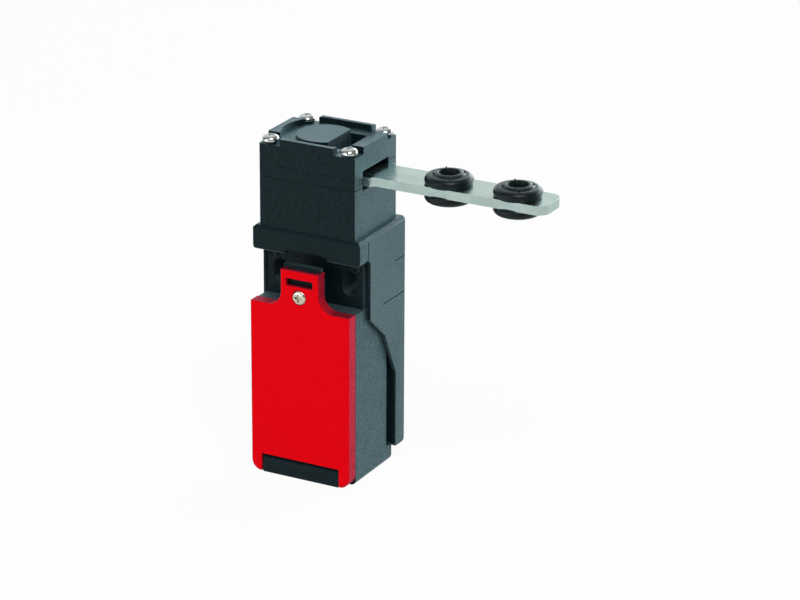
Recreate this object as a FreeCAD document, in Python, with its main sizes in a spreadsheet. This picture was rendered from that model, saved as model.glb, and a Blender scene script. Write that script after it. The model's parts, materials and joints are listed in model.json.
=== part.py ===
"""Tongue interlock switch: a slim safety switch with its key-like steel tongue.

Build frame, in millimetres: X runs across the switch, Y runs from the front of the red cover to the
back, and Z runs up from the underside. Every body is then placed so that the origin of the part is
the point midway between the two fixing holes on the rear face.
"""
import FreeCAD, Part
import math
import os
import re

import Sketcher

DOC = FreeCAD.newDocument("TongueInterlockSwitch")

# Driving sizes: name, millimetres (degrees for *_angle, counts for *_turns), meaning.
SIZES = [
    ("overall_depth", 29.3, "cover front to mounting face"),
    # lower body
    ("body_half", 15.0, "half width of the lower body and cover"),
    ("neck_inset", 0.5, "step in above the cover's shoulders"),
    ("rear_inset", 2.0, "step in at the body's narrow rear"),
    ("rear_start", 21.3, "depth at which the body narrows"),
    ("rear_floor", 4.9, "height at which the narrow rear starts"),
    ("shoulder", 49.0, "top of the wide lower body"),
    ("neck_ahead", 7.2, "face of the fixing plate in front of the head's axis"),
    ("bottom_round", 1.4, "rounding under the lower body"),
    ("side_wall", 2.6, "side wall of the wiring space"),
    ("rear_wall", 1.8, "wall behind the wiring space"),
    ("wiring_floor", 9.0, "floor of the wiring space, length of the entry thread"),
    ("wiring_roof", 2.5, "body above the wiring space"),
    ("entry_radius", 9.2, "minor radius of the M20 x 1.5 cable entry"),
    ("entry_depth", 13.6, "cable entry axis from the front"),
    # fixing
    ("fixing_rise", 6.7, "fixing holes above the body's shoulders"),
    ("fixing_pitch", 21.0, "distance between the fixing holes"),
    ("fixing_radius", 2.15, "radius of the M4 clearance holes"),
    ("fixing_slot", 2.7, "extra height of the slots in the fixing plate"),
    # outer shell
    ("shell_gap", 0.4, "gap between the body and the wings"),
    ("wing_thick", 0.95, "thickness of the side wings"),
    ("back_thick", 5.0, "thickness of the shell's back wall"),
    ("wing_bottom", 3.95, "lower end of the wings and back wall"),
    ("wing_step", 0.85, "wings behind the face of the fixing plate"),
    ("wing_rear", 23.8, "front edge of the wings at the bottom"),
    ("wing_knee", 17.9, "depth of the bend in the wings' sloping edge"),
    ("wing_high", 46.0, "height where the wings start to slope"),
    ("wing_bend", 38.9, "height of the bend in the slope"),
    ("wing_low", 26.7, "height where the slope ends"),
    ("wing_round", 1.2, "rounded lower corners of the wings"),
    ("shell_round", 0.4, "rounding of the shell's upright corners"),
    ("collar_corner", 0.9, "rounded lower corners of the collar's front"),
    ("collar_front", 3.7, "front face of the collar"),
    ("plate_height", 13.7, "collar above the body's shoulders"),
    ("collar_height", 6.7, "height of the collar"),
    ("collar_floor", 2.0, "thickness of the collar's top plate"),
    ("collar_round", 0.9, "bevel of the collar's upper edge"),
    ("apron_inset", 0.1, "step between collar front and wings"),
    ("arch_half", 6.5, "half width of the arch in the collar"),
    ("arch_rise", 1.4, "height of the arch"),
    # cover
    ("cover_depth", 3.8, "depth of the cover"),
    ("cover_wall", 1.2, "side walls of the cover"),
    ("cover_panel", 1.6, "front panel of the cover"),
    ("cover_rim", 5.4, "lower edge of the cover between its legs"),
    ("cover_round", 0.45, "rounding of the cover's front edges"),
    ("leg_width", 3.1, "width of the cover's legs"),
    ("leg_round", 3.0, "rounded outer corner of the legs"),
    ("leg_clearance", 0.15, "underside of the legs above the base"),
    ("heel_round", 1.5, "rounding behind the legs' underside"),
    ("toe_round", 0.6, "rounding in front of the legs' underside"),
    ("hinge_rise", 1.75, "hinge above the legs' underside"),
    ("nub_length", 2.0, "hinge nubs on the legs"),
    ("nub_radius", 1.0, "radius of the hinge nubs"),
    ("shoulder_gap", 0.3, "cover shoulders above the body's"),
    ("tab_half", 5.7, "half width of the cover's tab"),
    ("tab_rise", 10.8, "top of the tab above the body's shoulders"),
    ("tab_round", 4.2, "fillet between tab and shoulder"),
    ("window_half", 4.05, "half width of the window in the tab"),
    ("window_rise", 6.55, "lower edge of the window above the body's shoulders"),
    ("window_height", 2.05, "height of the window"),
    ("cover_screw_rise", 3.6, "cover screw above the body's shoulders"),
    ("cover_screw_head", 2.0, "radius of the cover screw's head"),
    ("head_height_share", 0.6, "height of a small screw's head or its rounding, to its size"),
    ("cross_reach_share", 0.6, "reach of a screw's cross, to its head's radius"),
    ("cross_width_share", 0.2, "half width of the cross, to the same"),
    ("cover_screw_shank", 1.2, "radius of the cover screw's shank"),
    ("cover_screw_length", 4.6, "cover screw below its head"),
    ("cover_gap", 0.1, "gap between cover and body"),
    # nose behind the tab, foot between the legs
    ("nose_gap", 0.2, "gap round the nose inside the tab"),
    ("nose_thick", 1.5, "thickness of the nose"),
    ("nose_rise", 1.2, "top of the nose above the tab"),
    ("post_half", 3.0, "half width of the cover screw's post"),
    ("post_rise", 7.0, "top of that post above the body's shoulders"),
    ("foot_front", 0.35, "front face of the foot"),
    ("foot_gap", 0.3, "gap from the foot to legs and cover"),
    ("foot_round", 2.0, "rounding of the foot's upper edge"),
    # cover gasket
    ("gasket_width", 1.0, "width of the cover gasket"),
    ("gasket_gap", 0.3, "gasket short of the body"),
    # head
    ("head_half", 14.35, "half width of the head"),
    ("head_half_depth", 11.7, "half depth of the head"),
    ("head_behind", 13.3, "head axis in front of the mounting face"),
    ("base_height", 14.0, "height of the head's base"),
    ("guide_height", 3.3, "height of the tongue guide"),
    ("lid_height", 7.6, "rim of the head above the tongue guide"),
    ("head_round", 0.4, "rounding of the head's upright corners"),
    ("post_width", 4.85, "width of the head cover's corner posts"),
    ("guide_end_wall", 6.65, "wall at the closed end of the tongue's way"),
    ("notch_width", 6.25, "width of the screw notches"),
    ("notch_depth", 5.1, "screw notches, front to back"),
    ("notch_drop", 1.9, "floor of the screw notches below the rim"),
    ("screw_boss", 0.7, "height of the bosses under the head screws"),
    ("screw_boss_radius", 2.0, "radius of those bosses"),
    ("recess_radius", 12.6, "round recess in the head's top"),
    ("recess_rim", 1.3, "rim in front of and behind the recess"),
    ("recess_depth", 1.7, "depth of the recess"),
    ("disc_radius", 7.6, "raised disc in the recess"),
    ("disc_offset", 1.0, "disc axis to the left of the head's"),
    ("disc_drop", 0.6, "top of the disc below the rim"),
    ("top_slot_start", 3.4, "near side of the top slot"),
    ("top_slot_width", 5.0, "width of the top slot"),
    ("top_slot_half", 6.6, "half length of the top slot"),
    ("screw_inset", 2.55, "head screws from the head's sides"),
    ("screw_depth_inset", 1.95, "head screws from the head's front and back"),
    ("screw_head_radius", 2.3, "radius of the head screws' heads"),
    ("screw_head_height", 1.5, "height of the head screws' heads"),
    ("screw_dome_share", 0.85, "share of that height that is rounded"),
    ("screw_shank", 1.25, "radius of the head screws' shanks"),
    ("screw_bite", 5.0, "head screws' reach into the collar"),
    ("screw_clearance", 0.2, "clearance round the head screws' shanks"),
    # tongue and its slot
    ("tongue_rise", 0.2, "underside of the tongue above the head's base"),
    ("tongue_thick", 2.5, "thickness of the tongue"),
    ("tongue_half", 5.65, "half width of the tongue's strip"),
    ("tongue_end", 66.5, "free end of the tongue"),
    ("tongue_end_round", 3.2, "corners of the free end"),
    ("tongue_tip", 3.7, "tip of the tongue past the head's axis"),
    ("tee_half", 6.95, "half width of the tongue's T head"),
    ("tee_end", 16.3, "end of the T head"),
    ("tee_fillet", 1.3, "fillet from T head to strip"),
    ("tee_chamfer", 1.6, "lead-in chamfers at the tip"),
    ("tee_window_half", 3.6, "half width of the window in the T head"),
    ("tee_window_start", 1.6, "bar at the tip"),
    ("tee_window_length", 6.5, "length of the window"),
    ("slot_side_gap", 0.2, "gap beside the T head"),
    ("slot_below", 1.3, "gap below the tongue"),
    ("slot_above", 1.6, "gap above the tongue"),
    # grommets
    ("grommet_first", 36.1, "first grommet from the head's axis"),
    ("grommet_pitch", 20.0, "distance between the grommets"),
    ("grommet_radius", 6.5, "radius of the grommet flanges"),
    ("grommet_hole", 2.8, "radius of the grommet bores"),
    ("grommet_waist", 4.0, "radius of the grommets inside the tongue"),
    ("grommet_flange", 3.1, "thickness of a grommet flange"),
    ("grommet_round", 2.3, "rounding of the flanges"),
    ("grommet_fit", 0.02, "fit of grommet waist in the tongue"),
    # cam
    ("cam_drop", 5.95, "cam axis below the tongue's middle plane"),
    ("cam_hub", 4.4, "radius of the cam's hub"),
    ("cam_half", 5.5, "half thickness of the cam"),
    ("cam_bore_gap", 0.05, "running clearance on the axle"),
    ("cam_side_gap", 0.25, "gap between cam hub and head base"),
    ("cam_tooth_radius", 7.4, "reach of the cam's tooth"),
    ("cam_tooth_half", 1.0, "half width of the tooth"),
    ("cam_tooth_angle", 50.0, "tooth from upright when the tongue is in"),
    ("cam_lobe_radius", 4.6, "lobe radius over the plunger at rest"),
    ("cam_turn_angle", 50.0, "turn of the cam over the tongue's travel"),
    ("cam_lobe_dwell_angle", 10.0, "end of the lobe past its highest point"),
    ("plunger_travel", 3.0, "stroke of the plunger"),
    ("axle_radius", 1.5, "radius of the cam axle"),
    ("axle_reach", 2.2, "axle seats in the head base"),
    ("seat_fit", 0.02, "fit of fixed pins and bushes in their seats"),
    ("cavity_wall", 4.75, "side walls of the cam's chamber"),
    ("cavity_floor", 1.6, "floor under the cam's chamber"),
    # plunger, its guide, seal and spring
    ("plunger_gap", 0.45, "gap between plunger and cam at rest"),
    ("plunger_radius", 1.8, "radius of the plunger"),
    ("plunger_dome", 1.7, "rounded end of the plunger"),
    ("plunger_flange", 3.9, "radius of the plunger's flange"),
    ("flange_thick", 1.5, "thickness of the plunger's flange"),
    ("stem_radius", 1.7, "radius of the plunger's stem"),
    ("running_gap", 0.06, "running clearance of the plunger in its guide"),
    ("free_gap", 0.25, "gap round parts that pass through"),
    ("guide_radius", 4.2, "outer radius of the plunger guide"),
    ("guide_drop", 0.9, "plunger guide below the collar's top plate"),
    ("seal_radius", 4.5, "outer radius of the plunger seal"),
    ("seal_thick", 0.9, "thickness of the plunger seal"),
    ("soft_gap", 0.3, "gap between rubber and moving parts"),
    ("bore_radius", 4.5, "radius of the spring chamber"),
    ("spring_room", 13.4, "depth of the spring chamber"),
    ("spring_radius", 3.1, "mean radius of the return spring"),
    ("spring_wire", 0.35, "radius of the return spring's wire"),
    ("spring_turns", 6.5, "turns of the return spring"),
    ("head_gasket_inset", 3.85, "head gasket from the head's sides"),
    ("head_gasket_depth_inset", 3.2, "head gasket from the head's front and back"),
    ("head_gasket_width", 1.2, "width of the head gasket"),
    ("head_gasket_thick", 0.8, "thickness of the head gasket"),
    # contact block
    ("block_side_gap", 0.9, "contact block from the sides of the wiring space"),
    ("block_ahead", 6.0, "front of the contact block from the head's axis"),
    ("block_height", 24.8, "height of the contact block"),
    ("block_gap", 0.2, "contact block below the wiring space's ceiling"),
    ("block_side_wall", 5.0, "side walls of the contact chamber"),
    ("block_wall", 1.3, "end walls of the contact chamber"),
    ("block_behind", 4.0, "rear of the contact chamber from the head's axis"),
    ("block_cover_thick", 1.0, "front plate of the contact block"),
    ("carrier_half", 2.2, "half width of the contact carrier"),
    ("carrier_depth_half", 3.2, "half depth of the contact carrier"),
    ("carrier_drop", 3.5, "top of the contact carrier below the wiring space's ceiling"),
    ("carrier_wall", 1.7, "carrier below its window"),
    ("contact_depth_half", 1.6, "half depth of the contact strips"),
    ("contact_thick", 0.8, "thickness of strips and bridges"),
    ("contact_gap", 0.1, "gap of a closed contact pair"),
    ("carrier_gap", 0.8, "fixed contacts from the contact carrier"),
    ("contact_inset", 0.5, "fixed contacts from the block's sides"),
    ("bridge_gap", 1.3, "bridges from the side walls of their chamber"),
    ("upper_contact_drop", 7.5, "upper fixed contacts below that ceiling"),
    ("contact_spacing", 10.0, "lower fixed contacts below the upper ones"),
    ("contact_spring_radius", 1.1, "mean radius of the contact spring"),
    ("contact_spring_wire", 0.2, "radius of the contact spring's wire"),
    ("contact_spring_turns", 5.0, "turns of the contact spring"),
    # terminals
    ("terminal_inset", 1.9, "terminal screws from the contacts' outer ends"),
    ("terminal_width", 3.8, "width of the terminal legs"),
    ("terminal_reach", 5.4, "height of a terminal plate beyond its strip"),
    ("terminal_screw_rise", 2.9, "terminal screw beyond its strip"),
    ("clamp_half", 2.3, "half side of a wire clamp"),
    ("clamp_thick", 0.9, "thickness of a wire clamp"),
    ("clamp_gap", 0.1, "wire clamp in front of its plate"),
    ("terminal_screw_radius", 1.45, "radius of the terminal screws"),
    ("terminal_head_radius", 2.5, "radius of their heads"),
    ("terminal_head_height", 1.7, "height of their heads"),
    ("terminal_screw_length", 7.5, "terminal screws below their heads"),
    ("block_screw_drop", 11.9, "block screws below the top of the contact block"),
    ("block_screw_radius", 1.2, "radius of the block screws"),
    ("block_screw_head", 2.2, "radius of their heads"),
    ("block_screw_head_height", 1.4, "height of their heads"),
    ("screw_end_wall", 0.4, "wall left behind their holes"),
]
NAMES = {name for name, _, _ in SIZES}

SHEET = DOC.addObject("Spreadsheet::Sheet", "Sizes")
for row, (name, amount, meaning) in enumerate(SIZES, 1):
    SHEET.set(f"A{row}", meaning)
    SHEET.set(f"B{row}", str(amount))
    SHEET.setAlias(f"B{row}", name)
DOC.recompute()

# Places that follow from the sizes, each with its formula.
FOLLOWING = {
    "head_middle": "overall_depth - head_behind",
    "neck_front": "head_middle - neck_ahead",
    "wing_front": "neck_front + wing_step",
    "fixing_height": "shoulder + fixing_rise",
    "collar_bottom": "shoulder + plate_height",
    "collar_top": "collar_bottom + collar_height",
    "tab_top": "shoulder + tab_rise",
    "window_bottom": "shoulder + window_rise",
    "cover_screw_height": "shoulder + cover_screw_rise",
    "nose_top": "tab_top + nose_rise",
    "post_top": "shoulder + post_rise",
    "spring_floor": "neck_top - spring_room",
    "wiring_top": "shoulder - wiring_roof",
    "carrier_top": "wiring_top - carrier_drop",
    "upper_contact": "wiring_top - upper_contact_drop",
    "lower_contact": "upper_contact - contact_spacing",
    "block_bottom": "block_top - block_height",
    "block_screw_height": "block_top - block_screw_drop",
    "block_cavity_half": "block_half - block_side_wall",
    "bridge_half": "block_cavity_half - bridge_gap",
    "contact_inner": "carrier_half + carrier_gap",
    "head_gasket_half": "head_half - head_gasket_inset",
    "head_gasket_depth_half": "head_half_depth - head_gasket_depth_inset",
    "head_part": "collar_top + base_height",
    "guide_top": "head_part + guide_height",
    "head_top": "guide_top + lid_height",
    "recess_floor": "head_top - recess_depth",
    "disc_top": "head_top - disc_drop",
    "notch_floor": "head_top - notch_drop",
    "screw_seat": "notch_floor + screw_boss",
    "tongue_bottom": "head_part + tongue_rise",
    "leg_inner": "body_half - leg_width",
    "cavity_half": "head_half - cavity_wall",
    "screw_half_pitch": "head_half - screw_inset",
    "screw_depth_half_pitch": "head_half_depth - screw_depth_inset",
    "post_start": "head_half - post_width",
    "notch_start": "head_half - notch_width",
    "guide_way": "head_half - guide_end_wall",
    "block_half": "wiring_half - block_side_gap",
    "block_front": "head_middle - block_ahead",
    "block_cavity_back": "head_middle + block_behind",
    "contact_outer": "block_half - contact_inset",
    "terminal_across": "contact_outer - terminal_inset",
    "block_screw_across": "terminal_across",
    "terminal_leg": "contact_outer - terminal_width",
    "rear_half": "body_half - rear_inset",
    "neck_half": "body_half - neck_inset",
    "body_back": "overall_depth - back_thick",
    "body_front": "cover_depth + cover_gap",
    "shell_inner": "body_half + shell_gap",
    "shell_half": "shell_inner + wing_thick",
    "apron_back": "neck_front - cover_gap",
    "neck_top": "collar_top - collar_floor",
    "hinge_depth": "cover_depth / 2",
    "hinge_height": "leg_clearance + hinge_rise",
    "cover_shoulder": "shoulder + shoulder_gap",
    "foot_half": "leg_inner - foot_gap",
    "foot_top": "cover_rim - foot_gap",
    "nose_front": "cover_panel + nose_gap",
    "wiring_half": "body_half - side_wall",
    "wiring_back": "body_back - rear_wall",
    "head_front": "head_middle - head_half_depth",
    "head_back": "head_middle + head_half_depth",
    "slot_half": "tee_half + slot_side_gap",
    "slot_bottom": "tongue_bottom - slot_below",
    "slot_top": "tongue_bottom + tongue_thick + slot_above",
    "cam_height": "tongue_bottom + tongue_thick / 2 - cam_drop",
    "plunger_top": "cam_height - cam_lobe_radius - plunger_gap",
    "guide_bottom": "neck_top - guide_drop",
    "flange_top": "guide_bottom - running_gap",
    "flange_bottom": "flange_top - flange_thick",
    "block_top": "wiring_top - block_gap",
    "upper_bridge_top": "upper_contact - contact_gap",
    "lower_bridge_bottom": "lower_contact + contact_thick + contact_gap + plunger_travel",
    "screw_bottom": "collar_top - screw_bite",
}


def on_sheet(formula):
    """The formula with each size name pointing at its cell, and each following place spelled out."""
    def to_cell(word):
        name = word.group()
        if name in FOLLOWING:
            return f"({on_sheet(FOLLOWING[name])})"
        return "Sizes." + name if name in NAMES else name

    return re.sub(r"[a-z_]+", to_cell, formula)


def size(formula):
    """The present value of a formula."""
    return float(SHEET.evalExpression(on_sheet(formula)))


def bind(thing, prop, formula):
    """Makes a property follow a formula."""
    thing.setExpression(prop, on_sheet(formula))


def place(piece):
    """Moves a finished piece from the build frame to the part's frame."""
    bind(piece, "Placement.Base.y", "-overall_depth")
    bind(piece, "Placement.Base.z", "-fixing_height")


def new_body(label):
    """An empty body at the part's place."""
    body = DOC.addObject("PartDesign::Body", label)
    body.Label = label
    place(body)
    return body


# Each origin plane: its role, and how its normal runs along the third axis.
PLANES = {"XY": ("XY_Plane", 1), "XZ": ("XZ_Plane", -1), "YZ": ("YZ_Plane", 1)}


def new_sketch(body, name, plane, level):
    """An empty sketch on one of the body's planes, moved out to a level."""
    role, sign = PLANES[plane]
    sketch = body.newObject("Sketcher::SketchObject", name)
    support = [feature for feature in body.Origin.OriginFeatures if feature.Role == role][0]
    sketch.AttachmentSupport = [(support, "")]
    sketch.MapMode = "FlatFace"
    bind(sketch, "AttachmentOffset.Base.z", f"{sign} * ({level})")
    return sketch


def pin_point(sketch, geometry, vertex, across, along):
    """Ties one vertex of the sketch to two formulas."""
    for kind, formula in (("DistanceX", across), ("DistanceY", along)):
        index = sketch.addConstraint(Sketcher.Constraint(kind, -1, 1, geometry, vertex, size(formula)))
        bind(sketch, f"Constraints[{index}]", formula)


def draw_circle(sketch, across, along, radius):
    """A full circle."""
    centre = FreeCAD.Vector(size(across), size(along), 0)
    circle = sketch.addGeometry(Part.Circle(centre, FreeCAD.Vector(0, 0, 1), size(radius)), False)
    pin_point(sketch, circle, 3, across, along)
    index = sketch.addConstraint(Sketcher.Constraint("Radius", circle, size(radius)))
    bind(sketch, f"Constraints[{index}]", radius)


def arc_between(start, end, radius, turn):
    """The shorter arc from start to end; turn is 1 for anticlockwise and -1 for clockwise."""
    chord = end - start
    rise = math.sqrt(max(radius ** 2 - (chord.Length / 2) ** 2, 0.0))
    side = FreeCAD.Vector(-chord.y, chord.x, 0).normalize() * turn
    centre = start + chord * 0.5 + side * rise
    angles = [math.atan2(point.y - centre.y, point.x - centre.x) for point in (start, end)]
    if turn < 0:
        angles.reverse()
    return Part.ArcOfCircle(Part.Circle(centre, FreeCAD.Vector(0, 0, 1), radius), *angles)


def draw_outline(sketch, points):
    """A closed outline. A point is (across, along), and a radius and a turn if an arc leads to it."""
    places = [FreeCAD.Vector(size(point[0]), size(point[1]), 0) for point in points]
    ends = []
    for index, point in enumerate(points):
        start, end = places[index - 1], places[index]
        if len(point) == 2:
            edge = sketch.addGeometry(Part.LineSegment(start, end), False)
            ends.append((edge, 1, 2))
            continue
        edge = sketch.addGeometry(arc_between(start, end, size(point[2]), point[3]), False)
        ends.append((edge, 1, 2) if point[3] > 0 else (edge, 2, 1))
        bend = sketch.addConstraint(Sketcher.Constraint("Radius", edge, size(point[2])))
        bind(sketch, f"Constraints[{bend}]", point[2])
    for index, point in enumerate(points):
        edge, _, last = ends[index]
        following, first, _ = ends[(index + 1) % len(points)]
        sketch.addConstraint(Sketcher.Constraint("Coincident", edge, last, following, first))
        pin_point(sketch, edge, last, point[0], point[1])


def extrude(body, name, plane, start, stop, shapes, cut=False):
    """Pads or pockets outlines, and circles given as three formulas, from start to stop."""
    level = start if PLANES[plane][1] > 0 else stop
    sketch = new_sketch(body, name + "_sketch", plane, level)
    for shape in shapes:
        if isinstance(shape, tuple):
            draw_circle(sketch, *shape)
        else:
            draw_outline(sketch, shape)
    feature = body.newObject("PartDesign::Pocket" if cut else "PartDesign::Pad", name)
    feature.Profile = sketch
    feature.Reversed = cut
    bind(feature, "Length", f"({stop}) - ({start})")
    sketch.Visibility = False
    DOC.recompute()
    return feature


def rectangle(left, right, low, high):
    """The corners of an upright rectangle."""
    return [(left, low), (right, low), (right, high), (left, high)]


def block(body, name, across, along, up, cut=False):
    """A box, padded or cut, from three pairs of formulas."""
    return extrude(body, name, "XY", up[0], up[1], [rectangle(*across, *along)], cut)


def both_sides(formula):
    """The pair of formulas for a size to the left and to the right."""
    return f"-({formula})", f"({formula})"


def about_middle(formula):
    """The pair of formulas for a size in front of and behind the head's axis."""
    return f"(head_middle - ({formula}))", f"(head_middle + ({formula}))"


def edges_near(body, **where):
    """Names of the body's edges whose every point has the given coordinates."""
    found = []
    for index, edge in enumerate(body.Tip.Shape.Edges, 1):
        points = [vertex.Point for vertex in edge.Vertexes] + [edge.CenterOfMass]
        offsets = [abs(getattr(point, axis) - size(level))
                   for point in points for axis, level in where.items()]
        if max(offsets) < 0.01:
            found.append(f"Edge{index}")
    return found


def circles_near(body, axis, level, radius):
    """Names of the body's round edges of one radius in one plane."""
    found = []
    for index, edge in enumerate(body.Tip.Shape.Edges, 1):
        if not isinstance(edge.Curve, Part.Circle) or abs(edge.Curve.Radius - size(radius)) > 0.001:
            continue
        if abs(getattr(edge.Curve.Center, axis) - size(level)) < 0.01:
            found.append(f"Edge{index}")
    return found


def dress(body, kind, name, edges, amount):
    """A PartDesign Fillet or Chamfer on named edges."""
    if not edges:
        raise ValueError(f"{body.Label}: {name} found no edge")
    base = body.Tip
    feature = body.newObject("PartDesign::" + kind, name)
    feature.Base = (base, edges)
    bind(feature, "Radius" if kind == "Fillet" else "Size", amount)
    body.Tip = feature
    DOC.recompute()
    return feature


def bevel(edge, top, amount, way):
    """Triangle that cuts the upper edge of a block off; way is the sign of the block's outer side."""
    inner, outer = f"{edge} - ({way}) * ({amount} + 1)", f"{edge} + ({way})"
    return [(inner, f"{top} + 1"), (outer, f"{top} - {amount} - 1"), (outer, f"{top} + 1")]


def head_screw_places():
    """The four screw axes of the head, as pairs of formulas."""
    return [(across, along) for across in both_sides("screw_half_pitch")
            for along in about_middle("screw_depth_half_pitch")]


def outer_shell():
    """Back wall, wings and collar in one moulding, open at the front and below."""
    body = new_body("outer_shell")
    wings = [
        ("wing_rear + wing_round", "wing_bottom", "wing_round", 1),
        ("overall_depth - wing_round", "wing_bottom"),
        ("overall_depth", "wing_bottom + wing_round", "wing_round", 1), ("overall_depth", "collar_bottom"),
        ("wing_front", "collar_bottom"), ("wing_front", "wing_high"), ("wing_knee", "wing_bend"),
        ("wing_rear", "wing_low"), ("wing_rear", "wing_bottom + wing_round"),
    ]
    extrude(body, "wings", "YZ", *both_sides("shell_half"), [wings])
    block(body, "collar", both_sides("shell_half"), ("apron_back", "overall_depth"),
          ("collar_bottom", "collar_top"))
    apron = "(shell_half - apron_inset)"
    front = [(f"-{apron}", "collar_bottom + collar_corner"),
             (f"collar_corner - {apron}", "collar_bottom", "collar_corner", 1),
             (f"{apron} - collar_corner", "collar_bottom"),
             (apron, "collar_bottom + collar_corner", "collar_corner", 1), (apron, "collar_top"),
             (f"-{apron}", "collar_top")]
    extrude(body, "apron", "XZ", "collar_front", "neck_front", [front])
    block(body, "hollow", both_sides("shell_inner"), ("apron_back", "body_back"),
          ("wing_bottom - 1", "neck_top"), cut=True)
    arch = [("-arch_half", "collar_bottom - 1"), ("arch_half", "collar_bottom - 1"),
            ("arch_half", "collar_bottom"),
            ("arch_half - arch_rise", "collar_bottom + arch_rise", "arch_rise", 1),
            ("arch_rise - arch_half", "collar_bottom + arch_rise"),
            ("-arch_half", "collar_bottom", "arch_rise", 1)]
    extrude(body, "arch", "XZ", "collar_front - 1", "neck_front", [arch], cut=True)
    extrude(body, "guide_seat", "XY", "neck_top - 1", "collar_top + 1",
            [("0", "head_middle", "guide_radius + seat_fit")], cut=True)
    extrude(body, "screw_seats", "XY", "screw_bottom - 1", "collar_top + 1",
            [(across, along, "screw_shank + seat_fit") for across, along in head_screw_places()], cut=True)
    holes = [(across, "fixing_height", "fixing_radius") for across in both_sides("fixing_pitch / 2")]
    extrude(body, "fixing_holes", "XZ", "body_back - 1", "overall_depth + 1", holes, cut=True)
    corners = [name for side in both_sides("shell_half")
               for name in edges_near(body, x=side, y="overall_depth")]
    corners += [name for side in both_sides("shell_half - apron_inset")
                for name in edges_near(body, x=side, y="collar_front")]
    dress(body, "Fillet", "upright_corners", corners, "shell_round")
    sides = [bevel(edge, "collar_top", "collar_round", way)
             for edge, way in zip(both_sides("shell_half"), (-1, 1))]
    extrude(body, "side_bevels", "XZ", "collar_front - 1", "overall_depth + 1", sides, cut=True)
    extrude(body, "front_bevel", "YZ", *both_sides("shell_half + 1"),
            [bevel("collar_front", "collar_top", "collar_round", -1)], cut=True)
    return body


def terminal_housing():
    """Lower body: wiring space, fixing plate, spring chamber, nose and hinge foot."""
    body = new_body("terminal_housing")
    block(body, "lower_block", both_sides("body_half"), ("body_front", "body_back"), ("0", "shoulder"))
    block(body, "neck", both_sides("neck_half"), ("neck_front", "body_back"), ("shoulder", "neck_top"))
    block(body, "foot", both_sides("foot_half"), ("foot_front", "body_front"), ("0", "foot_top"))
    dress(body, "Fillet", "foot_edge", edges_near(body, y="foot_front", z="foot_top"), "foot_round")
    block(body, "screw_post", both_sides("post_half"), ("nose_front", "neck_front"),
          ("shoulder", "post_top"))
    block(body, "nose", both_sides("tab_half - cover_wall - nose_gap"),
          ("nose_front", "nose_front + nose_thick"), ("shoulder", "nose_top"))
    block(body, "nose_bar", both_sides("tab_half - nose_gap"),
          ("nose_front", "nose_front + nose_thick"), ("tab_top + nose_gap", "nose_top"))
    for side, left, right in (("left", "-body_half - 1", "-rear_half"),
                              ("right", "rear_half", "body_half + 1")):
        block(body, side + "_rear", (left, right), ("rear_start", "body_back + 1"),
              ("rear_floor", "neck_top + 1"), cut=True)
    extrude(body, "wiring_space", "XZ", "body_front - 1", "wiring_back",
            [rectangle(*both_sides("wiring_half"), "wiring_floor", "wiring_top")], cut=True)
    extrude(body, "cable_entry", "XY", "-1", "wiring_floor + 1",
            [("0", "entry_depth", "entry_radius")], cut=True)
    extrude(body, "spring_chamber", "XY", "spring_floor", "neck_top + 1",
            [("0", "head_middle", "bore_radius")], cut=True)
    extrude(body, "stem_hole", "XY", "wiring_top - 1", "spring_floor + 1",
            [("0", "head_middle", "stem_radius + free_gap")], cut=True)
    slot_ends = [(across, end, "fixing_radius") for across in both_sides("fixing_pitch / 2")
                 for end in ("fixing_height - fixing_slot / 2", "fixing_height + fixing_slot / 2")]
    for name, ends in (("slots_lower_end", slot_ends[0::2]), ("slots_upper_end", slot_ends[1::2])):
        extrude(body, name, "XZ", "neck_front - 1", "body_back + 1", ends, cut=True)
    middles = [rectangle(f"{across} - fixing_radius", f"{across} + fixing_radius",
                         "fixing_height - fixing_slot / 2", "fixing_height + fixing_slot / 2")
               for across in both_sides("fixing_pitch / 2")]
    extrude(body, "fixing_slots", "XZ", "neck_front - 1", "body_back + 1", middles, cut=True)
    extrude(body, "cover_screw_hole", "XZ", "nose_front - 1", "cover_panel / 2 + cover_screw_length + 1",
            [("0", "cover_screw_height", "cover_screw_shank + free_gap")], cut=True)
    pivot = ("hinge_depth", "hinge_height", "nub_radius + running_gap")
    pivot_depth = "(leg_inner - nub_length - free_gap)"
    extrude(body, "right_pivot", "YZ", pivot_depth, "foot_half + 1", [pivot], cut=True)
    extrude(body, "left_pivot", "YZ", "-foot_half - 1", f"-{pivot_depth}", [pivot], cut=True)
    extrude(body, "block_screw_seats", "XZ", "wiring_back - 1", "body_back - screw_end_wall",
            [(across, "block_screw_height", "block_screw_radius + seat_fit")
             for across in both_sides("block_screw_across")], cut=True)
    under = [name for side in both_sides("body_half") for name in edges_near(body, x=side, z="0")]
    dress(body, "Fillet", "bottom_edges", under + edges_near(body, y="body_back", z="0"), "bottom_round")
    return body


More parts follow.
